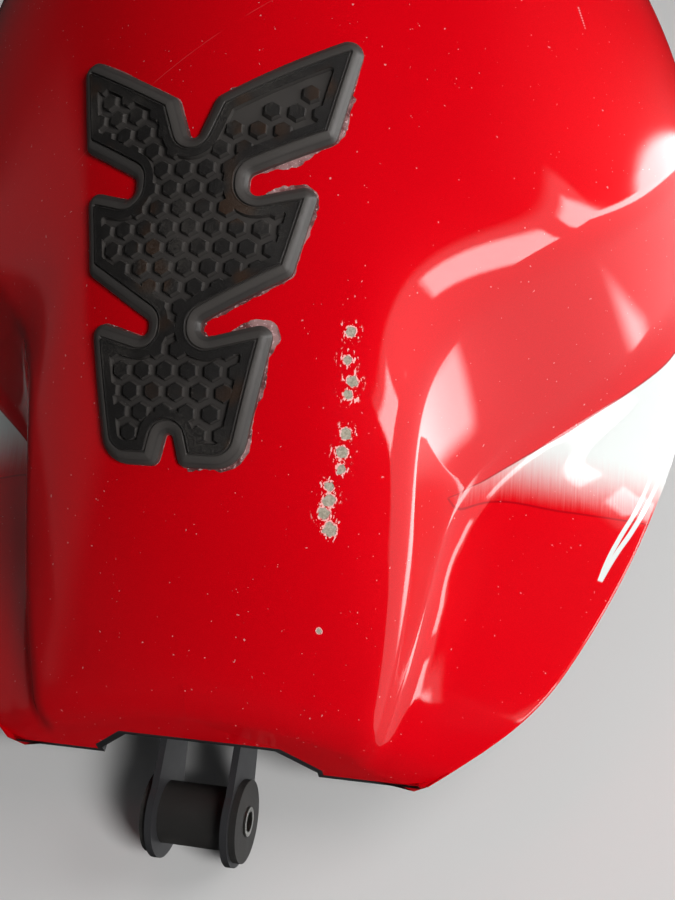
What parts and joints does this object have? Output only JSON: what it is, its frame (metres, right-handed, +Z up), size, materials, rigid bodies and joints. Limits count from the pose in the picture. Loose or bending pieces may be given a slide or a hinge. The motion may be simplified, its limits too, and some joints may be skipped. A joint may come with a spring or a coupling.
{
  "type": "motorcycle fuel tank",
  "caption": "Steel fuel tank of a sport motorcycle with a wide shoulder, narrow knee waist, flush hinged filler cap, rubber tank pad and rubber-bushed mounts.",
  "frame": {"origin": "centre of the rear mounting bore, on the tank's middle plane", "axes": "+X forward, +Y to the rider's left, +Z up"},
  "size_m": [0.5428, 0.432, 0.3118],
  "materials": {
    "red_paint": "red pearl paint under clear coat",
    "black_paint": "satin black enamel",
    "pad_rubber": "satin moulded rubber",
    "bush_rubber": "matt black rubber",
    "black_anodised": "black anodised aluminium",
    "bare_steel": "bare drawn steel",
    "bright_steel": "polished steel",
    "zinc_steel": "zinc plated steel",
    "moulded_plastic": "black moulded plastic"
  },
  "bodies": {
    "tank": {"tank_shell": "red_paint", "tank_pan": "black_paint", "tank_pad": "pad_rubber", "pad_studs": "pad_rubber", "filler_neck": "bare_steel", "filler_ring": "black_anodised", "hinge_pin": "bright_steel", "rear_bracket": "black_paint", "rear_bush": "bush_rubber", "rear_collar": "zinc_steel", "front_bracket": "black_paint", "front_bush_left": "bush_rubber", "front_bush_right": "bush_rubber", "front_collar_left": "zinc_steel", "front_collar_right": "zinc_steel", "pump_flange": "moulded_plastic", "pump_clamp_ring": "zinc_steel", "fuel_outlet": "moulded_plastic", "pump_connector": "moulded_plastic", "vent_spigot": "zinc_steel", "drain_spigot": "zinc_steel", "rest_pad_left": "bush_rubber", "rest_pad_right": "bush_rubber"},
    "cap": {"filler_cap": "black_anodised", "cap_plug": "moulded_plastic", "lock_barrel": "bright_steel", "flap_pivot": "bright_steel"},
    "flap": {"key_flap": "black_anodised"}
  },
  "joints": [
    {"name": "cap_hinge", "type": "hinge", "parent": "tank", "child": "cap", "pos_m": [0.425, 0, 0.285], "axis": [0, 1, 0], "range_deg": [0, 100]},
    {"name": "flap_turn", "type": "hinge", "parent": "cap", "child": "flap", "pos_m": [0.361, 0, 0.2905], "axis": [0, 0, 1], "range_deg": [0, 100]}
  ]
}
